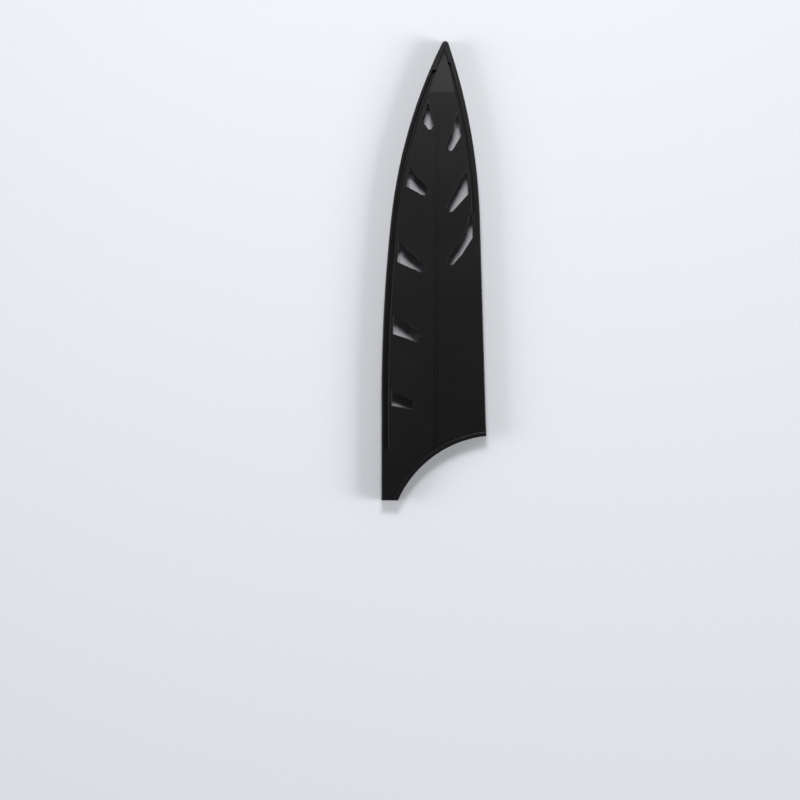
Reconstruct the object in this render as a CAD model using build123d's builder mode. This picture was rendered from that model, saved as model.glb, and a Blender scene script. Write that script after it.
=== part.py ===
from build123d import *
import math
import os

os.makedirs("parts", exist_ok=True)

# A slide-in guard for a kitchen knife: two moulded panels on a rim frame, with a leaf spring on each.
# +Y points to the tip, -X is the cutting-edge side, +X the spine side and +Z the front.
# The guard lies on the lip of its back panel, and the origin is under its middle.

# Overall size: the frame is as thick as the hollow, and each panel lies on one side of it
guard_length = 215.4
guard_width = 49.2
hollow_thickness = 4.8
panel_thickness = 1.6
lip_proud = 0.5
frame_setback = 0.15

# Side outline: straight by the mouth, then bowed to the tip on both sides
edge_straight = 47.0
edge_shoulder_height = 132.0
edge_shoulder_inset = 4.5
spine_shoulder_inset = 3.0
tip_offset = 5.3
tip_radius = 1.6
outer_round = 0.6

# Concave mouth, with a raised lip along it and a closed heel beside it
mouth_radius = 51.2
mouth_center_reach = 5.4
mouth_center_drop = 20.7
lip_width = 2.2
lip_round = 0.45
heel_wall = 1.8

# Rim on the cutting-edge side, going inwards: outer lip, moulded channel, wall of the hollow
edge_lip = 1.2
edge_channel = 1.9
edge_wall = 1.05
edge_channel_height = 24.2
edge_channel_drop = 13.5

# Rim on the spine side: it has its channel only near the tip
spine_lip = 2.1
spine_channel = 1.2
spine_channel_gap = 1.2
spine_channel_drop = 10.0
channel_web = 0.9
channel_bevel = 0.45

# Hollow for the blade, which widens to a thin wall on the spine side below the last window
throat_wall = 1.4
throat_shoulder_drop = 1.2
throat_taper = 6.0

# Tip: the panel between the channels falls away there, and a groove runs over its point
tip_facet_gap = 4.7
tip_facet_drop = 1.2
tip_groove = 0.9
tip_groove_depth = 1.2
tip_groove_gap = 1.5

# Centre rib: two fine grooves, with a strip of the panel between them
rib_width = 0.9
rib_groove = 0.45
rib_depth = 0.35
rib_foot_x = 0.8
rib_head_x = 1.5
rib_head_drop = 33.0
rib_lip_gap = 0.5

# Windows, drawn past the hollow, which trims their roots
window_nose = 1.3
window_bend = 9.0
window_root = 0.5
window_edge_round = 0.3

# Corners of each window as shares of the half width and the half length
edge_window_shares = [
    [(-0.179, 0.795), (-0.002, 0.632), (-0.074, 0.606), (-0.350, 0.690)],
    [(-0.569, 0.493), (-0.364, 0.414), (-0.103, 0.356), (-0.179, 0.324), (-0.684, 0.388)],
    [(-0.722, 0.141), (-0.512, 0.086), (-0.166, 0.020), (-0.246, -0.007), (-0.798, 0.048)],
    [(-0.874, -0.175), (-0.240, -0.284), (-0.318, -0.310), (-0.874, -0.268)],
    [(-0.912, -0.511), (-0.379, -0.571), (-0.398, -0.601), (-0.912, -0.585)],
]
spine_window_shares = [
    [(0.516, 0.752), (0.360, 0.610), (0.227, 0.539), (0.326, 0.514), (0.592, 0.615)],
    [(0.640, 0.446), (0.215, 0.266), (0.339, 0.254), (0.764, 0.361)],
]
sickle_window_shares = [
    (0.699, 0.251),
    (0.638, 0.188),
    (0.497, 0.127),
    (0.238, 0.042),
    (0.341, 0.021),
    (0.526, 0.069),
    (0.739, 0.145),
    (0.739, 0.208),
]

# Dowels through the frame: two in the heel, one in the tip, the rest up the spine side from the throat
pin_radius = 0.7
pin_seat = 0.5
pin_fit = 0.02
pin_end_gap = 0.1
heel_pin_low = 5.5
heel_pin_high = 19.5
tip_pin_drop = 2.3
spine_pin_shares = [0.05, 0.34, 0.63]

# Leaf springs: a foot staked behind the lip, and an arm that slopes in to the blade
leaf_thickness = 0.5
leaf_x = 1.0
foot_width = 10.0
foot_length = 8.0
foot_lip_gap = 0.9
arm_width = 6.5
arm_length = 34.0
arm_end_length = 3.0
arm_end_lift = 0.15
arm_recess = 0.4
arm_side_gap = 0.5
flex_gap = 0.05
post_radius = 0.9
post_fit = 0.05
post_spacing = 5.4
post_head_radius = 1.6
post_head = 0.5

# Pads on the arms, and the gap that the blade opens between them
pad_width = 6.0
pad_length = 9.0
pad_thickness = 0.6
pad_round = 1.5
pad_gap = 0.7

# Soft liner along the hollow on the cutting-edge side, and the stop in the tip
liner_thickness = 0.6
liner_fit = 0.05
liner_height = 30.0
liner_drop = 24.0
tip_stop_length = 11.0
tip_notch_width = 3.0
tip_notch_depth = 5.0

# Sizes that follow from the ones above
half_length = guard_length / 2
half_width = guard_width / 2
hollow_rise = hollow_thickness / 2
mid_height = hollow_rise + panel_thickness + lip_proud
face_height = mid_height + hollow_rise + panel_thickness
edge_channel_inset = edge_lip + edge_channel
spine_channel_inset = spine_lip + spine_channel
hollow_inset = edge_channel_inset + edge_wall
liner_inset = hollow_inset + liner_fit
window_inset = liner_inset + liner_thickness
overrun = guard_width
run_on_y = -half_length - overrun
search_reach = 0.05
throat_shoulder_y = max(y for x, y in sickle_window_shares) * half_length - throat_shoulder_drop
spine_channel_y = throat_shoulder_y + spine_channel_gap

mid_plane = Plane.XY.offset(mid_height)
hollow_plane = mid_plane.offset(hollow_rise)
face_plane = hollow_plane.offset(panel_thickness)

edge_start = (-half_width, edge_straight - half_length)
edge_shoulder = (edge_shoulder_inset - half_width, edge_shoulder_height - half_length)
spine_shoulder = (half_width - spine_shoulder_inset, edge_shoulder_height - half_length)
tip_center = Vector(tip_offset, half_length - tip_radius)
mouth_center = (half_width + mouth_center_reach, -half_length - mouth_center_drop)


def above_mouth(x, gap):
    """The height at x of the arc that runs a gap above the mouth's."""
    return mouth_center[1] + ((mouth_radius + gap) ** 2 - (mouth_center[0] - x) ** 2) ** 0.5


def tip_end(lower, turn):
    """Where the arc that runs on from a side's lower part meets the tip's rounding, tangent to both."""
    inward = (lower % 1).rotate(Axis.Z, turn)
    apart = lower @ 1 - tip_center
    radius = (tip_radius**2 - apart.dot(apart)) / (2 * (apart.dot(inward) + tip_radius))
    arc_center = lower @ 1 + inward * radius
    return tip_center + (tip_center - arc_center).normalized() * tip_radius


def beside_spine(y, amount):
    """The point at a height on the spine side's upper curve, moved inwards by an amount."""
    center = spine_upper.arc_center
    return (center.X + ((spine_upper.radius - amount) ** 2 - (y - center.Y) ** 2) ** 0.5, y)


mouth_end_y = above_mouth(half_width, 0)
foot_mouth_y = above_mouth(leaf_x + foot_width / 2, lip_width + foot_lip_gap)

# Both sides of the outline, from below the mouth to the tip's rounding
with BuildLine() as side_curves:
    edge_line = Line((-half_width, run_on_y), edge_start)
    edge_lower = TangentArc(edge_start, edge_shoulder, tangent=edge_line % 1)
    edge_upper = TangentArc(edge_shoulder, tip_end(edge_lower, -90), tangent=edge_lower % 1)
    spine_line = Line((half_width, mouth_end_y), spine_shoulder)
    spine_upper = TangentArc(spine_shoulder, tip_end(spine_line, 90), tangent=spine_line % 1)
edge_side = [edge_line, edge_lower, edge_upper]
spine_side = [spine_line, spine_upper]


def draw_side(curves, turn, amount):
    """Draws one side of the outline moved inwards, and returns its two ends."""
    start = curves[0] @ 0 + (curves[0] % 0).rotate(Axis.Z, turn) * amount
    ends = [curve @ 1 + (curve % 1).rotate(Axis.Z, turn) * amount for curve in curves]
    path = Line(start, ends[0])
    for end in ends[1:]:
        path = TangentArc(path @ 1, end, tangent=path % 1)
    return start, path @ 1


def rounded_outline(setback):
    """The whole side outline with its rounded tip, moved inwards by less than the tip's radius."""
    with BuildSketch(mid_plane) as whole:
        with BuildLine():
            edge_foot, edge_top = draw_side(edge_side, -90, setback)
            spine_foot, spine_top = draw_side(spine_side, 90, setback)
            ThreePointArc(edge_top, (tip_offset, half_length - setback), spine_top)
            Polyline(edge_foot, (spine_foot.X, edge_foot.Y), spine_foot)
        make_face()
    return whole.sketch


def trimmed(plan, setback):
    """A plan cut off by the mouth and the heel, both moved inwards by a setback."""
    with BuildSketch(mid_plane) as remaining:
        add(plan)
        with Locations(mouth_center):
            Circle(mouth_radius + setback, mode=Mode.SUBTRACT)
        with Locations((0, setback - half_length)):
            Rectangle(guard_width, guard_length, align=(Align.CENTER, Align.MIN), mode=Mode.INTERSECT)
    return remaining.sketch


with BuildSketch(mid_plane) as guard_plan:
    add(trimmed(rounded_outline(0), 0))

with BuildSketch(mid_plane) as lip_plan:
    with Locations(mouth_center):
        Circle(mouth_radius + lip_width)
    add(guard_plan.sketch, mode=Mode.INTERSECT)


def inner_side(curves, turn, amount):
    """All that lies on the inner side of one side of the outline, moved inwards."""
    far_x = -math.copysign(guard_width, turn)
    below_y = run_on_y - overrun
    with BuildSketch(mid_plane) as inner:
        with BuildLine():
            foot, top = draw_side(curves, turn, amount)
            Polyline(top, (far_x, top.Y), (far_x, below_y), (foot.X, below_y), foot)
        make_face()
    return inner.sketch


def between(edge_amount, spine_amount):
    """The side outline with each side moved inwards by its own amount."""
    with BuildSketch(mid_plane) as inner:
        add(inner_side(edge_side, -90, edge_amount))
        add(inner_side(spine_side, 90, spine_amount), mode=Mode.INTERSECT)
    return inner.sketch


def inset(amount):
    """The side outline moved inwards."""
    return between(amount, amount)


def band(outer_inset, inner_inset):
    """The strip of the side outline between two insets."""
    with BuildSketch(mid_plane) as strip:
        add(inset(outer_inset))
        add(inset(inner_inset), mode=Mode.SUBTRACT)
    return strip.sketch


with BuildSketch(mid_plane) as inner_plan:
    add(inset(outer_round))
    with Locations((0, outer_round - half_length)):
        Rectangle(guard_width, guard_length, align=(Align.CENTER, Align.MIN), mode=Mode.INTERSECT)

# Channels: the full band on the cutting-edge side, a short one near the tip on the spine side
with BuildSketch(mid_plane) as edge_channel_plan:
    with Locations((tip_offset, edge_channel_height - half_length)):
        Rectangle(
            guard_width,
            guard_length - edge_channel_height - edge_channel_drop,
            align=(Align.MAX, Align.MIN),
        )
    add(band(edge_lip, edge_channel_inset), mode=Mode.INTERSECT)

with BuildSketch(mid_plane) as spine_channel_plan:
    with Locations((tip_offset, spine_channel_y)):
        Rectangle(
            guard_width,
            half_length - spine_channel_y - spine_channel_drop,
            align=(Align.MIN, Align.MIN),
        )
    add(band(spine_lip, spine_channel_inset), mode=Mode.INTERSECT)

# Hollow: inside both rims, and wider on the spine side towards the mouth
with BuildSketch(mid_plane) as throat_plan:
    add(inset(throat_wall))
    with BuildSketch(mid_plane, mode=Mode.INTERSECT):
        with BuildLine():
            Polyline(
                (0, run_on_y),
                (half_width, run_on_y),
                (half_width, throat_shoulder_y - throat_taper),
                (half_width - spine_shoulder_inset - hollow_inset, throat_shoulder_y),
                (0, throat_shoulder_y),
                close=True,
            )
        make_face()

with BuildSketch(mid_plane) as hollow_plan:
    add(inset(hollow_inset))
    add(throat_plan.sketch)
    with Locations((0, heel_wall - half_length)):
        Rectangle(guard_width, guard_length, align=(Align.CENTER, Align.MIN), mode=Mode.INTERSECT)

with BuildSketch(mid_plane) as frame_plan:
    add(trimmed(rounded_outline(frame_setback), frame_setback))
    add(hollow_plan.sketch, mode=Mode.SUBTRACT)

with BuildSketch(mid_plane) as window_field:
    add(inset(window_inset))
    add(throat_plan.sketch)


def window(corner_shares, rounds):
    """One window with rounded corners, trimmed by the walls of the hollow."""
    with BuildSketch(mid_plane) as opening:
        with BuildLine():
            corners = [(x * half_width, y * half_length) for x, y in corner_shares]
            FilletPolyline(*corners, radius=rounds, close=True)
        make_face()
        add(window_field.sketch, mode=Mode.INTERSECT)
    return opening.sketch


fin_ends = [window_nose, window_nose, window_root]
fin_rounds = {4: [window_root] + fin_ends, 5: [window_root, window_bend] + fin_ends}
sickle_rounds = [window_root, window_bend, window_bend, window_nose]
sickle_rounds += [window_nose, window_bend, window_nose, window_bend]
windows = [window(shares, fin_rounds[len(shares)]) for shares in edge_window_shares + spine_window_shares]
windows.append(window(sickle_window_shares, sickle_rounds))
tip_facet_y = max(opening.vertices().sort_by(Axis.Y)[-1].Y for opening in windows) + tip_facet_gap

# Centre rib's two grooves, from under the tip facet down to the lip
rib_head_y = half_length - rib_head_drop
rib_foot_y = above_mouth(rib_foot_x, lip_width + rib_lip_gap)
with BuildSketch(face_plane) as rib_plan:
    for side in (-1, 1):
        reach = side * (rib_width + rib_groove) / 2
        with BuildLine():
            Polyline(
                (rib_foot_x + reach - rib_groove / 2, rib_foot_y),
                (rib_foot_x + reach + rib_groove / 2, rib_foot_y),
                (rib_head_x + reach + rib_groove / 2, rib_head_y),
                (rib_head_x + reach - rib_groove / 2, rib_head_y),
                close=True,
            )
        make_face()

# Point of the panel between the channels, and the groove round it above their ends
facet_plan = between(edge_channel_inset, spine_channel_inset)
with BuildSketch(mid_plane) as tip_groove_plan:
    add(between(edge_channel_inset - tip_groove, spine_channel_inset - tip_groove))
    add(facet_plan, mode=Mode.SUBTRACT)
    with Locations((0, half_length - edge_channel_drop + tip_groove_gap)):
        Rectangle(guard_width, guard_width, align=(Align.CENTER, Align.MIN), mode=Mode.INTERSECT)

channels = [
    (edge_channel_plan.sketch, inset(edge_channel_inset)),
    (spine_channel_plan.sketch, inset(spine_channel_inset)),
]
pin_places = [
    (-half_width + hollow_inset / 2, heel_pin_low - half_length),
    (-half_width + hollow_inset / 2, heel_pin_high - half_length),
    (tip_offset, half_length - tip_pin_drop),
]
for share in spine_pin_shares:
    pin_y = throat_shoulder_y + share * (half_length - throat_shoulder_y)
    pin_places.append(beside_spine(pin_y, spine_lip / 2))
post_y = foot_mouth_y + foot_length / 2 - leaf_thickness
post_places = [(leaf_x + side * post_spacing / 2, post_y) for side in (-1, 1)]


def touches(plan, edge):
    """Whether an edge runs along a plan, seen from the front."""
    middle = edge.center()
    return plan.distance_to(Vector(middle.X, middle.Y, mid_height)) < search_reach


# Wedge off the panel between the channels, which falls away a little towards the tip
with BuildPart() as tip_wedge:
    with BuildSketch(Plane.YZ):
        with BuildLine():
            Polyline(
                (tip_facet_y, face_height),
                (half_length, face_height - tip_facet_drop),
                (half_length, face_height),
                close=True,
            )
        make_face()
    extrude(amount=guard_width, both=True)
    add(facet_plan)
    extrude(amount=overrun, mode=Mode.INTERSECT)

with BuildPart() as front_panel:
    add(guard_plan.sketch.moved(Location((0, 0, hollow_rise))))
    extrude(amount=panel_thickness)

    # Slots over the channels, with the side next to the panel bevelled
    for channel_plan, panel_plan in channels:
        add(channel_plan)
        extrude(amount=overrun, mode=Mode.SUBTRACT)
        bevel_edges = front_panel.edges().group_by(Axis.Z)[-1].filter_by(
            lambda edge: touches(channel_plan, edge) and touches(panel_plan, edge)
        )
        chamfer(bevel_edges, channel_bevel)

    add(tip_wedge.part, mode=Mode.SUBTRACT)
    add(tip_groove_plan.sketch.moved(Location((0, 0, face_height - mid_height))))
    extrude(amount=-tip_groove_depth, mode=Mode.SUBTRACT)

    # Rounded outer edge, all round but for the mouth
    outer_edges = front_panel.edges().filter_by(Axis.Z, reverse=True).filter_by(
        lambda edge: edge.center().Z > mid_height + hollow_rise + search_reach
        and not touches(inner_plan.sketch, edge)
    )
    fillet(outer_edges, outer_round)

    # Lip along the mouth
    add(lip_plan.sketch.moved(Location((0, 0, hollow_rise))))
    extrude(amount=panel_thickness + lip_proud)
    fillet(front_panel.edges().group_by(Axis.Z)[-1], lip_round)

    # Recess for the spring's arm
    with BuildSketch(hollow_plane):
        with Locations((leaf_x, foot_mouth_y + foot_length - arm_side_gap)):
            Rectangle(
                arm_width + 2 * arm_side_gap,
                arm_length + 2 * arm_side_gap,
                align=(Align.CENTER, Align.MIN),
            )
    extrude(amount=arm_recess, mode=Mode.SUBTRACT)

    # Windows and rib
    for opening in windows:
        add(opening)
        extrude(amount=overrun, mode=Mode.SUBTRACT)
    window_edges = front_panel.edges().filter_by(
        lambda edge: edge.center().Z > face_height - search_reach
        and any(touches(opening, edge) for opening in windows)
    )
    fillet(window_edges, window_edge_round)
    add(rib_plan.sketch)
    extrude(amount=-rib_depth, mode=Mode.SUBTRACT)

    # Seats for the ends of the dowels
    with Locations(*[(x, y, mid_height + hollow_rise) for x, y in pin_places]):
        Cylinder(
            pin_radius + pin_fit,
            pin_seat + pin_end_gap,
            align=(Align.CENTER, Align.CENTER, Align.MIN),
            mode=Mode.SUBTRACT,
        )

    # Posts that hold the spring's foot, with their staked heads
    with BuildSketch(hollow_plane):
        with Locations(*post_places):
            Circle(post_radius)
    extrude(amount=-leaf_thickness - post_head)
    with BuildSketch(hollow_plane.offset(-leaf_thickness)):
        with Locations(*post_places):
            Circle(post_head_radius)
    extrude(amount=-post_head)
    fillet(front_panel.edges(Select.LAST).group_by(Axis.Z)[0], post_head / 2)
front_panel.part.label = "front_panel"
export_step(front_panel.part, "parts/front_panel.step")

with BuildPart() as back_panel:
    mirror(front_panel.part, about=mid_plane)
back_panel.part.label = "back_panel"
export_step(back_panel.part, "parts/back_panel.step")

# Frame round the hollow, open at the mouth, set back a little so that its joints show as lines
with BuildPart() as rim_frame:
    add(frame_plan.sketch)
    extrude(amount=hollow_rise, both=True)
    for channel_plan, panel_plan in channels:
        for side in (-1, 1):
            add(channel_plan.moved(Location((0, 0, side * channel_web))))
            extrude(amount=side * overrun, mode=Mode.SUBTRACT)
    with Locations(*[(x, y, mid_height) for x, y in pin_places]):
        Cylinder(pin_radius + pin_fit, hollow_thickness, mode=Mode.SUBTRACT)
rim_frame.part.label = "rim_frame"
export_step(rim_frame.part, "parts/rim_frame.step")

with BuildPart() as locating_pins:
    with Locations(*[(x, y, mid_height) for x, y in pin_places]):
        Cylinder(pin_radius, hollow_thickness + 2 * pin_seat)
locating_pins.part.label = "locating_pins"
export_step(locating_pins.part, "parts/locating_pins.step")

# Leaf spring: the foot lies flat on the panel, and the arm turns on the flex line beside it
foot_end_y = foot_mouth_y + foot_length
foot_z = mid_height + hollow_rise - leaf_thickness / 2
pad_end_y = foot_end_y + arm_length - arm_end_length
arm_tip_z = mid_height + pad_gap / 2 + pad_thickness + leaf_thickness / 2

with BuildPart() as front_spring_foot:
    with BuildSketch(hollow_plane):
        with Locations((leaf_x, foot_mouth_y)):
            Rectangle(foot_width, foot_length, align=(Align.CENTER, Align.MIN))
        with Locations(*post_places):
            Circle(post_radius + post_fit, mode=Mode.SUBTRACT)
    extrude(amount=-leaf_thickness)
    with Locations(Location((leaf_x, foot_end_y, foot_z), (0, 90, 0))):
        Cylinder(leaf_thickness / 2 + flex_gap, foot_width, mode=Mode.SUBTRACT)
front_spring_foot.part.label = "front_spring_foot"
export_step(front_spring_foot.part, "parts/front_spring_foot.step")

with BuildPart() as front_spring_arm:
    with BuildSketch(Plane.YZ.offset(leaf_x)):
        with BuildLine():
            arm_run = Line((foot_end_y, foot_z), (pad_end_y, arm_tip_z))
            arm_end = Line((pad_end_y, arm_tip_z), (pad_end_y + arm_end_length, arm_tip_z + arm_end_lift))
        trace(line_width=leaf_thickness)
        with Locations((foot_end_y, foot_z)):
            Circle(leaf_thickness / 2)
    extrude(amount=arm_width / 2, both=True)
front_spring_arm.part.label = "front_spring_arm"
export_step(front_spring_arm.part, "parts/front_spring_arm.step")

# Pad under the end of the arm, in line with it
pad_drop = (arm_run % 1).rotate(Axis.Z, -90) * (leaf_thickness + pad_thickness) / 2
pad_start = arm_run @ (1 - pad_length / arm_run.length) + pad_drop
with BuildPart() as front_grip_pad:
    with BuildSketch(Plane.YZ.offset(leaf_x)):
        with BuildLine():
            Line(pad_start, arm_run @ 1 + pad_drop)
        trace(line_width=pad_thickness)
    extrude(amount=pad_width / 2, both=True)
    pad_corners = front_grip_pad.edges().filter_by(lambda edge: edge.length < 2 * pad_thickness)
    fillet(pad_corners, pad_round)
front_grip_pad.part.label = "front_grip_pad"
export_step(front_grip_pad.part, "parts/front_grip_pad.step")

# The back spring is the front one turned over
with BuildPart() as back_spring_foot:
    mirror(front_spring_foot.part, about=mid_plane)
back_spring_foot.part.label = "back_spring_foot"
export_step(back_spring_foot.part, "parts/back_spring_foot.step")

with BuildPart() as back_spring_arm:
    mirror(front_spring_arm.part, about=mid_plane)
back_spring_arm.part.label = "back_spring_arm"
export_step(back_spring_arm.part, "parts/back_spring_arm.step")

with BuildPart() as back_grip_pad:
    mirror(front_grip_pad.part, about=mid_plane)
back_grip_pad.part.label = "back_grip_pad"
export_step(back_grip_pad.part, "parts/back_grip_pad.step")

# Liner along the wall of the hollow that faces the cutting edge
with BuildPart() as edge_liner:
    with BuildSketch(mid_plane):
        with Locations((tip_offset, liner_height - half_length)):
            Rectangle(
                guard_width,
                guard_length - liner_height - liner_drop,
                align=(Align.MAX, Align.MIN),
            )
        add(band(liner_inset, window_inset), mode=Mode.INTERSECT)
    extrude(amount=hollow_rise - liner_fit, both=True)
edge_liner.part.label = "edge_liner"
export_step(edge_liner.part, "parts/edge_liner.step")

# Stop that fills the point of the hollow, with a notch for the tip of the blade
with BuildPart() as tip_stop:
    with BuildSketch(mid_plane) as stop_plan:
        add(inset(liner_inset))
        stop_top = stop_plan.vertices().sort_by(Axis.Y)[-1]
        with Locations((0, stop_top.Y - tip_stop_length)):
            Rectangle(guard_width, guard_width, align=(Align.CENTER, Align.MIN), mode=Mode.INTERSECT)
        with BuildLine():
            Polyline(
                (stop_top.X - tip_notch_width / 2, stop_top.Y - tip_stop_length),
                (stop_top.X + tip_notch_width / 2, stop_top.Y - tip_stop_length),
                (stop_top.X, stop_top.Y - tip_stop_length + tip_notch_depth),
                close=True,
            )
        make_face(mode=Mode.SUBTRACT)
    extrude(amount=hollow_rise - liner_fit, both=True)
tip_stop.part.label = "tip_stop"
export_step(tip_stop.part, "parts/tip_stop.step")
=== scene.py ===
# %% [markdown]
# # A moulded guard for a kitchen knife
# The guard is a flat sheath that a large kitchen knife slides into. Two black plastic panels lie on
# a frame that runs round the blade. They have fin-shaped windows, and a raised lip along their
# concave mouth. Two leaf springs inside hold the blade.
# The shapes with real sizes come from the CAD model, which is loaded first and never moved.
# Blender adds the finishes, the moulded ribs on the grip pads, the light and the camera.

# %% Load the CAD frame
import math

import bmesh
import bpy
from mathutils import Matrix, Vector


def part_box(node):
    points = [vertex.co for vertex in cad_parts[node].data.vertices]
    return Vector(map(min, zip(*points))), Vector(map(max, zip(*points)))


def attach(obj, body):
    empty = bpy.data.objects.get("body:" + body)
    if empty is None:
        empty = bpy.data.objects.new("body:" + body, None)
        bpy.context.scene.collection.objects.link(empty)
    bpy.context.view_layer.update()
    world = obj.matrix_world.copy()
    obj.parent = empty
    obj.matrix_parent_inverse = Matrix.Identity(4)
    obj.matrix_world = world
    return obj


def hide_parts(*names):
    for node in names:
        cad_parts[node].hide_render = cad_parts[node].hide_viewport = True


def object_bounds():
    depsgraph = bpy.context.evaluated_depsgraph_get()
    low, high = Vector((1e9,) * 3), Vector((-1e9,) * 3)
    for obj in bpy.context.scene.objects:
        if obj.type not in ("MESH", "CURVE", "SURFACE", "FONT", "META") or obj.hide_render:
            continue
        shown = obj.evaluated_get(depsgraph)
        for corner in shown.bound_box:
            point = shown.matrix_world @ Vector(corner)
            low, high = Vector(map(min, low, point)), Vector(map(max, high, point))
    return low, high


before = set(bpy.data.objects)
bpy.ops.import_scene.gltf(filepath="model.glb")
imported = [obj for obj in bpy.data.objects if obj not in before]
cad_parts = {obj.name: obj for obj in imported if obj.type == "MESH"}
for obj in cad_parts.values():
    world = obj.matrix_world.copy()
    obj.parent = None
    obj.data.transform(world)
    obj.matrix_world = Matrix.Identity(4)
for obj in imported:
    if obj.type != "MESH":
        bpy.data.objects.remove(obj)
cad_box = [[float(value) for value in corner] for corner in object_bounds()]
MM = 0.001
print("CAD box in mm:", [[round(value / MM, 2) for value in corner] for corner in cad_box])

# %% [markdown]
# ## Helpers for colours and nodes
# A designer picks colours as sRGB hex values, but the shader counts in linear light, so one
# function turns the first into the second. Another one adds a node with its settings and its
# links in a single call. That keeps the recipe of each finish short enough to read in one go.
# The Mix node has separate sockets for numbers and colours, so its colours go in by position:
# 0 is the factor, 6 and 7 are the two colours, and output 2 is the mixed colour.

# %% Colour and node helpers
def colour(hex_value):
    """Turns an sRGB hex value into linear red, green, blue and alpha."""
    channels = [int(hex_value[i : i + 2], 16) / 255 for i in (1, 3, 5)]
    linear = [c / 12.92 if c <= 0.04045 else ((c + 0.055) / 1.055) ** 2.4 for c in channels]
    return (*linear, 1.0)


def add_node(tree, kind, inputs=None, **settings):
    """Adds a node, sets its properties and fills its inputs with values or links."""
    node = tree.nodes.new(kind)
    for name, value in settings.items():
        setattr(node, name, value)
    for socket, value in (inputs or {}).items():
        if isinstance(value, bpy.types.NodeSocket):
            tree.links.new(value, node.inputs[socket])
        else:
            node.inputs[socket].default_value = value
    return node


def new_finish(name):
    """Starts an empty material and gives it, its node tree and its Object coordinates."""
    material = bpy.data.materials.new(name)
    material.use_nodes = True
    tree = material.node_tree
    tree.nodes.clear()
    place = add_node(tree, "ShaderNodeTexCoord").outputs["Object"]
    return material, tree, place


def per_metre(size_mm):
    """The noise scale that gives grains this many millimetres across."""
    return 1 / (size_mm * MM)


print("black plastic in linear light:", [round(c, 4) for c in colour("#111112")])

# %% [markdown]
# ## The black polypropylene of the panels and the frame
# Guards like this are injection moulded from polypropylene, filled with carbon black. The mould's
# face is spark eroded, so the plastic comes out with a fine, even grain: the eye sees a deep
# neutral black with a soft sheen, never a sharp reflection. Handling makes three things visible:
# clouds a few centimetres across, where skin has left the surface a little smoother, fine scuffs
# along the guard from sliding it on and off, and paler, smoother edges, because whatever stands
# out is rubbed first.
# The edges could be found with baked maps, but these flat panels need only their normals: a face
# that looks neither straight up nor straight sideways belongs to a rounded or bevelled edge.
# The real grain is about 0.1 mm. A pixel of the picture is 0.47 mm, so it is drawn at 0.45 mm.

# %% Scuffs and rubbed edges
def fine_scuffs(tree, place):
    """1 on a scuff and 0 beside it: noise 0.5 mm across, drawn out to 30 mm along the guard."""
    drawn_out = add_node(
        tree, "ShaderNodeMapping", {"Vector": place, "Scale": (1.0, 1 / 60, 1.0)}
    ).outputs["Vector"]
    noise = add_node(
        tree, "ShaderNodeTexNoise",
        {"Vector": drawn_out, "Scale": per_metre(0.5), "Detail": 4.0, "Roughness": 0.7},
    ).outputs["Fac"]
    return add_node(
        tree, "ShaderNodeMapRange", {"Value": noise, "From Min": 0.6, "From Max": 0.8}
    ).outputs["Result"]


def rounded_edges(tree):
    """1 on rounds: z²(1 - z²) of the normal is 0 on a flat face and largest at 45 degrees."""
    normal = add_node(tree, "ShaderNodeNewGeometry").outputs["Normal"]
    up = add_node(tree, "ShaderNodeSeparateXYZ", {"Vector": normal}).outputs["Z"]
    square = add_node(tree, "ShaderNodeMath", {0: up, 1: up}, operation="MULTIPLY").outputs[0]
    rest = add_node(tree, "ShaderNodeMath", {0: 1.0, 1: square}, operation="SUBTRACT").outputs[0]
    lean = add_node(tree, "ShaderNodeMath", {0: square, 1: rest}, operation="MULTIPLY").outputs[0]
    return add_node(
        tree, "ShaderNodeMapRange", {"Value": lean, "From Min": 0.03, "From Max": 0.22}
    ).outputs["Result"]


print("scuffs are", round(1 / per_metre(0.5) / MM, 2), "mm across")

# %% [markdown]
# ## Layers of the black plastic
# The recipe starts from clean plastic and lays the marks over it in the order in which they came:
# the handling, then the scuffs, then the rubbed edges. Each changes the tone a little and the sheen
# more, because wear on black plastic is seen mostly in its shine.

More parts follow.
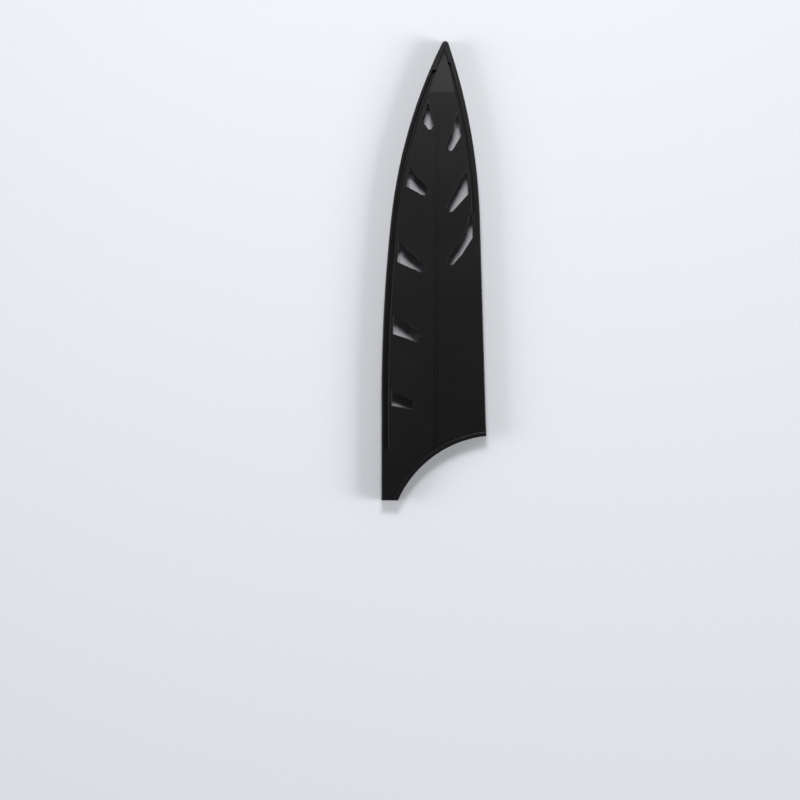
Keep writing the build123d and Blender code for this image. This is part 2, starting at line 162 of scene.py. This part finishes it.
# %% Finish of the panels and the frame
def black_polypropylene():
    material, tree, place = new_finish("black_polypropylene_spark_eroded")
    clouds = add_node(
        tree, "ShaderNodeTexNoise",
        {"Vector": place, "Scale": per_metre(26), "Detail": 3.0, "Roughness": 0.55},
    ).outputs["Fac"]
    grain = add_node(
        tree, "ShaderNodeTexNoise",
        {"Vector": place, "Scale": per_metre(0.45), "Detail": 2.0, "Roughness": 0.6},
    ).outputs["Fac"]
    scuffs = fine_scuffs(tree, place)
    worn = add_node(
        tree, "ShaderNodeMath", {0: rounded_edges(tree), 1: clouds}, operation="MULTIPLY"
    ).outputs[0]

    # Tone: each layer lies over the ones before it, where its factor says
    tone = colour("#0c0c0d")
    for factor, over in ((clouds, "#111112"), (scuffs, "#18181a"), (worn, "#262628")):
        tone = add_node(
            tree, "ShaderNodeMix", {0: factor, 6: tone, 7: colour(over)}, data_type="RGBA"
        ).outputs[2]

    # Sheen: 0.39 on clean grain, 0.34 where it is handled, and lower still on the rubbed edges
    handled = add_node(
        tree, "ShaderNodeMapRange",
        {"Value": clouds, "From Min": 0.35, "From Max": 0.65, "To Min": 0.39, "To Max": 0.34},
    ).outputs["Result"]
    polish = add_node(tree, "ShaderNodeMath", {0: worn, 1: 0.08}, operation="MULTIPLY").outputs[0]
    rubbed = add_node(
        tree, "ShaderNodeMath", {0: handled, 1: polish}, operation="SUBTRACT"
    ).outputs[0]
    roughness = add_node(
        tree, "ShaderNodeMath", {0: scuffs, 1: 0.1, 2: rubbed}, operation="MULTIPLY_ADD"
    ).outputs[0]

    # Relief: grain 6 hundredths of a millimetre deep
    relief = add_node(
        tree, "ShaderNodeBump", {"Height": grain, "Strength": 0.6, "Distance": 0.06 * MM}
    ).outputs["Normal"]
    shader = add_node(
        tree, "ShaderNodeBsdfPrincipled",
        {
            "Base Color": tone, "Roughness": roughness, "Normal": relief, "IOR": 1.49,
            "Specular IOR Level": 0.3,
        },
    )
    add_node(tree, "ShaderNodeOutputMaterial", {"Surface": shader.outputs["BSDF"]})
    return material


body_finish = black_polypropylene()
print("body finish:", body_finish.name, "with", len(body_finish.node_tree.nodes), "nodes")

# %% [markdown]
# ## The steel of the leaf springs
# The springs are punched from stainless spring strip. The strip is cold rolled, so the steel has
# fine lines along its length, and the light stretches across them. The lines are real at about
# 0.02 mm and are drawn at 0.12 mm to show. Blanking and bending leave faint blue-grey clouds.
# A metal's colour is its reflection, so the base colour is the pale grey of stainless steel.

# %% Finish of the springs
def rolled_spring_steel():
    material, tree, place = new_finish("stainless_spring_strip_rolled")
    drawn_out = add_node(
        tree, "ShaderNodeMapping", {"Vector": place, "Scale": (1.0, 1 / 90, 1.0)}
    ).outputs["Vector"]
    lines = add_node(
        tree, "ShaderNodeTexNoise",
        {"Vector": drawn_out, "Scale": per_metre(0.12), "Detail": 3.0, "Roughness": 0.6},
    ).outputs["Fac"]
    clouds = add_node(
        tree, "ShaderNodeTexNoise", {"Vector": place, "Scale": per_metre(7), "Detail": 2.0}
    ).outputs["Fac"]
    tone = add_node(
        tree, "ShaderNodeMix",
        {0: clouds, 6: colour("#b9bbbd"), 7: colour("#cdccc8")}, data_type="RGBA",
    ).outputs[2]
    roughness = add_node(
        tree, "ShaderNodeMapRange",
        {"Value": lines, "From Min": 0.3, "From Max": 0.7, "To Min": 0.24, "To Max": 0.42},
    ).outputs["Result"]
    relief = add_node(
        tree, "ShaderNodeBump", {"Height": lines, "Strength": 0.25, "Distance": 0.01 * MM}
    ).outputs["Normal"]
    shader = add_node(
        tree, "ShaderNodeBsdfPrincipled",
        {
            "Base Color": tone, "Metallic": 1.0, "Roughness": roughness, "Normal": relief,
            "Anisotropic": 0.4,
        },
    )
    add_node(tree, "ShaderNodeOutputMaterial", {"Surface": shader.outputs["BSDF"]})
    return material


spring_finish = rolled_spring_steel()
print("spring finish:", spring_finish.name)

# %% [markdown]
# ## The rubbers and the dowels
# The grip pads are silicone, moulded and bonded to the springs: dark grey, matt, with a skin that
# picks up pale dust. The liner and the stop in the tip are black thermoplastic rubber, softer and
# duller than the panels. The dowels are polypropylene like the panels, moulded smooth.
# All three are the same kind of surface: a dark dull solid, mottled by dust, with a fine skin. So
# one function makes them from a table, and only the colours, the sheen and the grain differ.

# %% Finishes of the rubbers and the dowels
def dull_solid(name, dark, dusty, sheen, dust_mm, skin_mm, skin_depth_mm, ior):
    material, tree, place = new_finish(name)
    dust = add_node(
        tree, "ShaderNodeTexNoise",
        {"Vector": place, "Scale": per_metre(dust_mm), "Detail": 5.0, "Roughness": 0.65},
    ).outputs["Fac"]
    settled = add_node(
        tree, "ShaderNodeMapRange", {"Value": dust, "From Min": 0.42, "From Max": 0.72}
    ).outputs["Result"]
    tone = add_node(
        tree, "ShaderNodeMix",
        {0: settled, 6: colour(dark), 7: colour(dusty)}, data_type="RGBA",
    ).outputs[2]
    skin = add_node(
        tree, "ShaderNodeTexNoise", {"Vector": place, "Scale": per_metre(skin_mm), "Detail": 2.0}
    ).outputs["Fac"]
    roughness = add_node(
        tree, "ShaderNodeMapRange", {"Value": settled, "To Min": sheen, "To Max": sheen + 0.12}
    ).outputs["Result"]
    relief = add_node(
        tree, "ShaderNodeBump", {"Height": skin, "Strength": 0.4, "Distance": skin_depth_mm * MM}
    ).outputs["Normal"]
    shader = add_node(
        tree, "ShaderNodeBsdfPrincipled",
        {"Base Color": tone, "Roughness": roughness, "Normal": relief, "IOR": ior},
    )
    add_node(tree, "ShaderNodeOutputMaterial", {"Surface": shader.outputs["BSDF"]})
    return material


# Name, the two tones, sheen, then the sizes of dust, skin and the skin's depth in mm, and IOR
pad_finish, liner_finish, dowel_finish = (dull_solid(*row) for row in (
    ("silicone_dark_grey_moulded", "#38393b", "#4b4b4c", 0.56, 3.0, 0.25, 0.02, 1.41),
    ("thermoplastic_rubber_black", "#1d1d1e", "#2d2d2d", 0.66, 5.0, 0.3, 0.02, 1.5),
    ("black_polypropylene_smooth", "#1c1c1d", "#262627", 0.42, 4.0, 0.2, 0.01, 1.49),
))
for finish in (pad_finish, liner_finish, dowel_finish):
    print("finish:", finish.name)

# %% [markdown]
# ## Dressing the CAD nodes
# The CAD solids already have the photographed shapes, so they keep their meshes. Each gets the
# finish of the real piece in its own material slot.

# %% Finishes on the CAD nodes
node_finishes = {
    "front_panel": body_finish,
    "back_panel": body_finish,
    "rim_frame": body_finish,
    "locating_pins": dowel_finish,
    "tip_stop": liner_finish,
    "edge_liner": liner_finish,
    "front_spring_foot": spring_finish,
    "back_spring_foot": spring_finish,
    "front_spring_arm": spring_finish,
    "back_spring_arm": spring_finish,
}
for node_name, finish in node_finishes.items():
    for material_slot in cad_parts[node_name].material_slots:
        material_slot.material = finish
print("dressed", len(node_finishes), "CAD nodes")

# %% [markdown]
# ## Smooth rounds on the mouldings
# The CAD meshes come as loose flat triangles. On dark plastic their facets break the thin
# highlights on the rounded edges, most of all along the lip, where the real moulding is smooth.
# Subdivision would round the sharp corners as well and add triangles everywhere. So the shape
# stays, apart from small nicks that are filled, and the normals change: the triangles of a copy
# are joined, its sharp edges are marked, and a Weighted Normal modifier blends the rounds from one
# face to the next. Two flat faces never blend, such as the panel and its facet at the tip.
# Where the exact direction of the surface is known, it is worked out instead. That is so on the
# lip's rounds, which follow two circles about the middle of the mouth's arc. The two circles are
# known from the CAD model, so a point's place about them says whether it is on a round.

# %% Where the lip's rounds are
MOUTH_CENTRE = (30.0 * MM, -128.4 * MM)
LIP_ROUND = 0.45 * MM
# The radius of each of the lip's edges: the outer one faces away from the middle, the inner towards
LIP_ARCS = ((53.4 * MM, 1), (51.2 * MM, -1))
MIDDLE_HEIGHT = (cad_box[0][2] + cad_box[1][2]) / 2
ROUND_HEIGHT = cad_box[1][2] - MIDDLE_HEIGHT - LIP_ROUND
ON_ROUND = 0.004 * MM


def lip_spoke(point, slack=ON_ROUND):
    """From the middle of one of the lip's rounds to a point on the round, or None elsewhere."""
    from_centre = Vector((point.x - MOUTH_CENTRE[0], point.y - MOUTH_CENTRE[1], 0.0))
    side = 1 if point.z > MIDDLE_HEIGHT else -1
    up = abs(point.z - MIDDLE_HEIGHT) - ROUND_HEIGHT
    for arc_radius, way in LIP_ARCS:
        out = way * (from_centre.length - arc_radius) + LIP_ROUND
        if min(up, out) > -slack and abs(math.hypot(up, out) - LIP_ROUND) < slack:
            return from_centre.normalized() * way * out + Vector((0.0, 0.0, side * up))
    return None


print("middle of the lip's front rounds at", round((MIDDLE_HEIGHT + ROUND_HEIGHT) / MM, 2), "mm")

# %% [markdown]
# ## Nicks in the lip
# Some of the CAD triangles span the lip's whole round as a flat chord, up to 0.13 mm below it,
# which leaves small nicks along the edge. A finer mesh everywhere would cost far more than it
# mends, so only the edges that cut deeper than a hundredth of a millimetre are split, and each new
# point is moved out onto the round. Edges on the border of a round stay, so the flat faces beside
# it stay flat. Three turns fill most of the nicks. Those that are left are at most 0.11 mm deep,
# a quarter of a pixel of the picture.

# %% Fill the nicks
CHORD_DEPTH = 0.14 * MM
NICK_DEPTH = 0.01 * MM
SPLIT_TURNS = 3


def is_nick(edge):
    """Whether an edge lies inside one of the lip's rounds but cuts below its surface."""
    corners = {vertex for face in edge.link_faces for vertex in face.verts}
    if any(lip_spoke(vertex.co) is None for vertex in corners):
        return False
    spoke = lip_spoke((edge.verts[0].co + edge.verts[1].co) / 2, CHORD_DEPTH)
    return spoke is not None and LIP_ROUND - spoke.length > NICK_DEPTH


def fill_nicks(work):
    """Splits the edges that cut below the lip's rounds, and moves the new points onto them."""
    filled = 0
    for _ in range(SPLIT_TURNS):
        nicks = [edge for edge in work.edges if is_nick(edge)]
        made = bmesh.ops.subdivide_edges(work, edges=nicks, cuts=1)["geom_inner"] if nicks else []
        for vertex in (item for item in made if isinstance(item, bmesh.types.BMVert)):
            spoke = lip_spoke(vertex.co, CHORD_DEPTH)
            if spoke is not None:
                vertex.co += spoke.normalized() * (LIP_ROUND - spoke.length)
                filled += 1
        bmesh.ops.triangulate(work, faces=[face for face in work.faces if len(face.verts) > 3])
    return filled


print("edges deeper than", round(NICK_DEPTH / MM, 3), "mm below a round are split")

# %% [markdown]
# ## Flats and corners
# A flat face decides over its own border, because a blend there would spread over its long thin
# triangles as a smudge of light. A panel has two kinds of flat: the level ones, and the facet at
# the tip, which leans by three degrees. The direction of each kind is the mean of its triangles,
# weighted by area, so that a sliver with a poor normal counts for nothing.

# %% Which edges blend, and which directions are known
SHARP_ANGLE = math.radians(50)
CREASE_ANGLE = math.radians(0.5)
FLAT_TILT = math.cos(math.radians(4))
LEVEL_TILT = math.cos(math.radians(0.5))


def is_smooth(edge):
    """Whether light should blend over an edge: not over corners, nor from one flat to another."""
    angle = edge.calc_face_angle(math.pi)
    both_flat = all(abs(face.normal.z) > FLAT_TILT for face in edge.link_faces)
    return angle < (CREASE_ANGLE if both_flat else SHARP_ANGLE)


def flat_directions(mesh):
    """For each corner point of a flat face, the directions of the flat faces that meet there."""
    kinds = {
        face: (face.normal.z > 0, abs(face.normal.z) > LEVEL_TILT)
        for face in mesh.polygons if abs(face.normal.z) > FLAT_TILT
    }
    means = {}
    for face, kind in kinds.items():
        means[kind] = means.get(kind, Vector()) + face.normal * face.area
    directions = {}
    for face, kind in kinds.items():
        for index in face.vertices:
            directions.setdefault(index, []).append(means[kind].normalized())
    return directions


def exact_normal(mesh, face, index, flats):
    """The known direction of the surface at a face's corner point, or None."""
    known = list(flats.get(index, []))
    spoke = lip_spoke(mesh.vertices[index].co)
    if spoke is not None:
        known.append(spoke.normalized())
    nearest = min(known, key=lambda direction: face.normal.angle(direction, 0.0), default=None)
    if nearest is None or face.normal.angle(nearest, 0.0) >= SHARP_ANGLE:
        return None
    return nearest


print("edges up to", round(math.degrees(SHARP_ANGLE)), "degrees blend")

# %% [markdown]
# ## Copies of the mouldings
# The two panels and the rim frame are the nodes with long curves, so each gets a smoothed copy
# that stands for it. Points nearer to each other than a thousandth of a millimetre are the same
# point of the CAD model, so they are joined.

# %% Make the smoothed copies
WELD_DISTANCE = 0.001 * MM


def plain_mesh(maker):
    """The finished mesh of an object with modifiers, which is then removed."""
    maker.update_tag()
    evaluated = maker.evaluated_get(bpy.context.evaluated_depsgraph_get())
    mesh = bpy.data.meshes.new_from_object(evaluated)
    bpy.data.objects.remove(maker)
    return mesh


def join_and_mark(mesh):
    """Joins a mesh's loose triangles, fills its nicks and marks its sharp edges."""
    work = bmesh.new()
    work.from_mesh(mesh)
    bmesh.ops.remove_doubles(work, verts=work.verts, dist=WELD_DISTANCE)
    filled = fill_nicks(work)
    work.normal_update()
    for face in work.faces:
        face.smooth = True
    for edge in work.edges:
        edge.smooth = is_smooth(edge)
    open_edges = sum(1 for edge in work.edges if not edge.is_manifold)
    work.to_mesh(mesh)
    work.free()
    print("joined:", open_edges, "open edges,", filled, "points moved onto the rounds")


def set_exact_normals(mesh):
    """Puts the known direction in place of the blended one at each corner that has one."""
    normals = [corner.vector.copy() for corner in mesh.corner_normals]
    flats = flat_directions(mesh)
    for face in mesh.polygons:
        for corner, index in zip(face.loop_indices, face.vertices):
            direction = exact_normal(mesh, face, index, flats)
            if direction is not None:
                normals[corner] = direction
    mesh.normals_split_custom_set(normals)


def smooth_moulding(node_name):
    """A copy of a CAD node in the same place, with smooth normals on its rounds."""
    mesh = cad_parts[node_name].data.copy()
    join_and_mark(mesh)
    maker = bpy.data.objects.new(node_name + "_maker", mesh)
    bpy.context.collection.objects.link(maker)
    weights = maker.modifiers.new("weighted_normals", "WEIGHTED_NORMAL")
    weights.keep_sharp = True
    mesh = plain_mesh(maker)
    set_exact_normals(mesh)
    moulding = bpy.data.objects.new(node_name + "_moulding", mesh)
    bpy.context.collection.objects.link(moulding)
    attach(moulding, "guard")
    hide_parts(node_name)
    print(moulding.name, "has", len(mesh.polygons), "faces")


for node_name in ("front_panel", "back_panel", "rim_frame"):
    smooth_moulding(node_name)

# %% [markdown]
# ## The ribbed grip pads
# A smooth pad would slip on a wet blade, so a silicone pad like this has low ribs across it. The
# ribs repeat along a line, which is what Geometry Nodes are for: one rib is made once, and points
# on a line say where its copies go. The pad is a rounded rectangle, filled and given a thickness.
# It would be as quick to copy ribs in a loop, but in a tree their spacing stays one input.
# Each pad lies in line with its spring's arm, which leans by less than two degrees, so the tree
# makes the pad flat and turns it at the end. It fits inside the CAD pad that it stands for.

# %% The node tree of a ribbed pad
CORNER_STEPS, RIB_SIDES = 8, 20
PAD_INPUTS = {
    "Length": "Float", "Width": "Float", "Base thickness": "Float", "Corner radius": "Float",
    "Rib spacing": "Float", "Rib radius": "Float", "Rib inset": "Float", "Rib count": "Int",
    "Centre": "Vector", "Turn": "Vector", "Material": "Material",
}


def ribbed_pad_tree():
    tree = bpy.data.node_groups.new("ribbed_pad", "GeometryNodeTree")
    tree.interface.new_socket("Geometry", in_out="OUTPUT", socket_type="NodeSocketGeometry")
    for name, kind in PAD_INPUTS.items():
        tree.interface.new_socket(name, in_out="INPUT", socket_type="NodeSocket" + kind)
    given = add_node(tree, "NodeGroupInput").outputs

    # Base: a rounded rectangle, filled and extruded, and closed again underneath
    outline = add_node(
        tree, "GeometryNodeCurvePrimitiveQuadrilateral",
        {"Width": given["Width"], "Height": given["Length"]},
    ).outputs["Curve"]
    rounded = add_node(
        tree, "GeometryNodeFilletCurve",
        {"Curve": outline, "Radius": given["Corner radius"], "Count": CORNER_STEPS}, mode="POLY",
    ).outputs["Curve"]
    face = add_node(tree, "GeometryNodeFillCurve", {"Curve": rounded}, mode="NGONS").outputs["Mesh"]
    raised = add_node(
        tree, "GeometryNodeExtrudeMesh",
        {"Mesh": face, "Offset Scale": given["Base thickness"], "Individual": False},
    ).outputs["Mesh"]
    underside = add_node(tree, "GeometryNodeFlipFaces", {"Mesh": face}).outputs["Mesh"]
    halves = add_node(tree, "GeometryNodeJoinGeometry")
    for part in (raised, underside):
        tree.links.new(part, halves.inputs["Geometry"])
    base = add_node(
        tree, "GeometryNodeMergeByDistance",
        {"Geometry": halves.outputs[0], "Distance": WELD_DISTANCE},
    )

    # Rib: a round bar across the pad, half sunk in the base
    rib_length = add_node(
        tree, "ShaderNodeMath", {0: given["Width"], 1: given["Rib inset"]}, operation="SUBTRACT"
    ).outputs[0]
    bar = add_node(
        tree, "GeometryNodeMeshCylinder",
        {"Vertices": RIB_SIDES, "Radius": given["Rib radius"], "Depth": rib_length},
    ).outputs["Mesh"]
    across = add_node(
        tree, "GeometryNodeTransform", {"Geometry": bar, "Rotation": (0.0, math.pi / 2, 0.0)}
    ).outputs["Geometry"]

    # Places: points on a line along the pad, centred on it, at the height of its top face
    steps = add_node(
        tree, "ShaderNodeMath", {0: given["Rib count"], 1: 1.0}, operation="SUBTRACT"
    ).outputs[0]
    reach = add_node(
        tree, "ShaderNodeMath", {0: steps, 1: given["Rib spacing"]}, operation="MULTIPLY"
    ).outputs[0]
    first = add_node(tree, "ShaderNodeMath", {0: reach, 1: -0.5}, operation="MULTIPLY").outputs[0]
    start = add_node(
        tree, "ShaderNodeCombineXYZ", {"Y": first, "Z": given["Base thickness"]}
    ).outputs["Vector"]
    step = add_node(tree, "ShaderNodeCombineXYZ", {"Y": given["Rib spacing"]}).outputs["Vector"]
    line = add_node(
        tree, "GeometryNodeMeshLine",
        {"Count": given["Rib count"], "Start Location": start, "Offset": step}, mode="OFFSET",
    ).outputs["Mesh"]
    ribs = add_node(
        tree, "GeometryNodeInstanceOnPoints", {"Points": line, "Instance": across}
    ).outputs["Instances"]

    # Put together, turned in line with the arm, and moved to its end
    pad = add_node(tree, "GeometryNodeJoinGeometry")
    for part in (base.outputs["Geometry"], ribs):
        tree.links.new(part, pad.inputs["Geometry"])
    placed = add_node(
        tree, "GeometryNodeTransform",
        {"Geometry": pad.outputs[0], "Rotation": given["Turn"], "Translation": given["Centre"]},
    ).outputs["Geometry"]
    solid = add_node(tree, "GeometryNodeRealizeInstances", {"Geometry": placed}).outputs["Geometry"]
    finished = add_node(
        tree, "GeometryNodeSetMaterial", {"Geometry": solid, "Material": given["Material"]}
    ).outputs["Geometry"]
    add_node(tree, "NodeGroupOutput", {"Geometry": finished})
    return tree


pad_tree = ribbed_pad_tree()
print("ribbed pad tree:", len(pad_tree.nodes), "nodes")

# %% [markdown]
# ## Placing the pads
# The pad leans with its arm, so its box in the CAD model is higher than the pad is thick. The lean
# is worked out from that height instead of being written down twice. The CAD pad is 9 mm long,
# 6 mm wide and 0.6 mm thick. The base takes 0.38 mm of that, and the ribs stand 0.22 mm out of it.
# A modifier's inputs are set by their identifiers, because two inputs could share a name.

# %% Make the two pads
PAD_LENGTH, PAD_WIDTH, PAD_THICKNESS = 9.0, 6.0, 0.6
BASE_THICKNESS, RIB_RADIUS, RIB_SPACING, RIB_COUNT = 0.38, 0.22, 0.9, 9
PAD_CORNER, RIB_INSET = 1.5, 0.8


def in_mm(corner):
    return [round(float(value) / MM, 2) for value in corner]


def ribbed_pad(name, node_name, body, faces_up):
    """A ribbed pad in the place of a CAD pad, with its ribs towards the blade."""
    low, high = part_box(node_name)
    centre = [(float(a) + float(b)) / 2 for a, b in zip(low, high)]
    rise = float(high[2]) - float(low[2]) - PAD_THICKNESS * MM
    lean = math.asin(rise / (PAD_LENGTH * MM))
    turn = lean if faces_up else math.pi - lean

    # The tree builds up from the underside, which is half the thickness behind the middle
    half = PAD_THICKNESS / 2 * MM
    back = [0.0, math.sin(turn) * half, -math.cos(turn) * half]
    sizes = {
        "Length": PAD_LENGTH * MM,
        "Width": PAD_WIDTH * MM,
        "Base thickness": BASE_THICKNESS * MM,
        "Corner radius": PAD_CORNER * MM,
        "Rib spacing": RIB_SPACING * MM,
        "Rib radius": RIB_RADIUS * MM,
        "Rib inset": RIB_INSET * MM,
        "Rib count": RIB_COUNT,
        "Centre": [c + b for c, b in zip(centre, back)],
        "Turn": (turn, 0.0, 0.0),
        "Material": pad_finish,
    }
    maker = bpy.data.objects.new(name + "_maker", bpy.data.meshes.new(name + "_maker"))
    bpy.context.collection.objects.link(maker)
    modifier = maker.modifiers.new("ribs", "NODES")
    modifier.node_group = pad_tree
    for item in pad_tree.interface.items_tree:
        if item.in_out == "INPUT":
            modifier[item.identifier] = sizes[item.name]
    mesh = plain_mesh(maker)
    pad = bpy.data.objects.new(name, mesh)
    bpy.context.collection.objects.link(pad)
    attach(pad, body)
    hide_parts(node_name)
    points = [vertex.co for vertex in mesh.vertices]
    print(name, "leans", round(math.degrees(lean), 2), "degrees, from",
          in_mm(map(min, zip(*points))), "to", in_mm(map(max, zip(*points))), "mm")
    print("its CAD pad goes from", in_mm(low), "to", in_mm(high), "mm")


ribbed_pad("front_ribbed_pad", "front_grip_pad", "front_arm", faces_up=False)
ribbed_pad("back_ribbed_pad", "back_grip_pad", "back_arm", faces_up=True)

# %% [markdown]
# ## Floor
# The guard lies on its back on a sheet of pale paper, as in a product studio. Plain grey-white
# paper has a soft tooth, which a little roughness and noise give, and nothing else competes with
# the black plastic. The sheet reaches 4 m to each side, so it fills the picture from above. It
# lies a hair under the guard, because two surfaces in one place would flicker.

# %% Paper floor
def studio_paper():
    material, tree, place = new_finish("studio_paper_pale")
    tooth = add_node(
        tree, "ShaderNodeTexNoise", {"Vector": place, "Scale": per_metre(1.5), "Detail": 3.0}
    ).outputs["Fac"]
    tone = add_node(
        tree, "ShaderNodeMix",
        {0: tooth, 6: colour("#e5e6ea"), 7: colour("#e8e9ed")}, data_type="RGBA",
    ).outputs[2]
    relief = add_node(
        tree, "ShaderNodeBump", {"Height": tooth, "Strength": 0.1, "Distance": 0.05 * MM}
    ).outputs["Normal"]
    shader = add_node(
        tree, "ShaderNodeBsdfPrincipled", {"Base Color": tone, "Roughness": 0.9, "Normal": relief}
    )
    add_node(tree, "ShaderNodeOutputMaterial", {"Surface": shader.outputs["BSDF"]})
    return material


FLOOR_HALF = 4.0
FLOOR_GAP = 0.02 * MM
floor_mesh = bpy.data.meshes.new("paper_floor")
floor_z = cad_box[0][2] - FLOOR_GAP
floor_mesh.from_pydata(
    [(-FLOOR_HALF, -FLOOR_HALF, floor_z), (FLOOR_HALF, -FLOOR_HALF, floor_z),
     (FLOOR_HALF, FLOOR_HALF, floor_z), (-FLOOR_HALF, FLOOR_HALF, floor_z)],
    [], [(0, 1, 2, 3)],
)
floor = bpy.data.objects.new("paper_floor", floor_mesh)
floor.data.materials.append(studio_paper())
bpy.context.collection.objects.link(floor)
print("floor at", round(floor_z / MM, 3), "mm")

# %% [markdown]
# ## Light
# Black plastic shows the lights more than its own colour. In the photograph the panel is palest
# at the tip and fades to black towards the mouth, and the facet at the tip and the lip catch the
# light. So one compact soft box stands beyond the tip, close by, so that its soft reflection fades
# along the guard. Two large ones light the paper from low down at the sides, where the panel can't
# mirror them into the camera. For the same reason the room has pale walls under a dark ceiling:
# seen from above the plastic mirrors the ceiling, and seen from the side it mirrors the walls,
# which shows its forms.
# Blender's usual view transform works like film, which greys white paper and lifts black plastic.
# The Standard one gives the tones as they are lit, and the photograph's are near that.

# %% Soft boxes and the room
def soft_box(name, place, size, watts):
    """A white square lamp that faces the guard. Place and size are in metres."""
    light = bpy.data.lights.new(name, "AREA")
    light.shape = "SQUARE"
    light.size = size
    light.energy = watts
    lamp = bpy.data.objects.new(name, light)
    lamp.location = place
    aim = [-value for value in place]
    tilt = math.atan2(math.hypot(aim[0], aim[1]), -aim[2])
    heading = math.atan2(aim[1], aim[0]) - math.pi / 2
    lamp.rotation_euler = (tilt, 0.0, heading)
    bpy.context.collection.objects.link(lamp)
    print(name, "at", place, "m,", watts, "W")


# The sine of 37 degrees up, where the walls begin to darken, and of 58, where the ceiling is dark
CEILING_STARTS, CEILING_IS_DARK = 0.6, 0.85


def studio_room():
    """A room whose pale walls give way to a dark ceiling."""
    room = bpy.data.worlds.new("studio_room")
    room.use_nodes = True
    tree = room.node_tree
    tree.nodes.clear()
    direction = add_node(tree, "ShaderNodeTexCoord").outputs["Generated"]
    up = add_node(tree, "ShaderNodeSeparateXYZ", {"Vector": direction}).outputs["Z"]
    ceiling = add_node(
        tree, "ShaderNodeMapRange",
        {"Value": up, "From Min": CEILING_STARTS, "From Max": CEILING_IS_DARK},
        interpolation_type="SMOOTHSTEP",
    ).outputs["Result"]
    tone = add_node(
        tree, "ShaderNodeMix",
        {0: ceiling, 6: colour("#b3b5b9"), 7: colour("#28282a")}, data_type="RGBA",
    ).outputs[2]
    light = add_node(tree, "ShaderNodeBackground", {"Color": tone}).outputs["Background"]
    add_node(tree, "ShaderNodeOutputWorld", {"Surface": light})
    return room


soft_box("soft_box_tip", (-0.02, 0.45, 0.75), 0.22, 3.5)
soft_box("soft_box_left", (-2.7, -0.2, 1.4), 1.4, 34)
soft_box("soft_box_right", (2.7, -0.4, 1.4), 1.4, 56)
bpy.context.scene.world = studio_room()
bpy.context.scene.view_settings.view_transform = "Standard"

# %% [markdown]
# ## Camera
# The photograph looks straight at the front panel, from far enough away that nothing leans. 800
# pixels of it are 374.8 mm on the guard, and its middle lies 15.9 mm towards the edge side and
# 60.6 mm towards the mouth. A camera 2 m away with a long lens gives that frame.

# %% Place the camera
PICTURE_WIDTH, CAMERA_DISTANCE, SENSOR = 374.8, 2000.0, 36.0
PICTURE_MIDDLE = (-15.9, -60.6)
camera_data = bpy.data.cameras.new("photo_view")
camera_data.sensor_width = SENSOR
camera_data.lens = SENSOR * CAMERA_DISTANCE / PICTURE_WIDTH
camera = bpy.data.objects.new("photo_view", camera_data)
camera.location = (
    PICTURE_MIDDLE[0] * MM, PICTURE_MIDDLE[1] * MM, cad_box[1][2] + CAMERA_DISTANCE * MM,
)
bpy.context.collection.objects.link(camera)
bpy.context.scene.camera = camera
print("lens", round(camera_data.lens, 1), "mm")
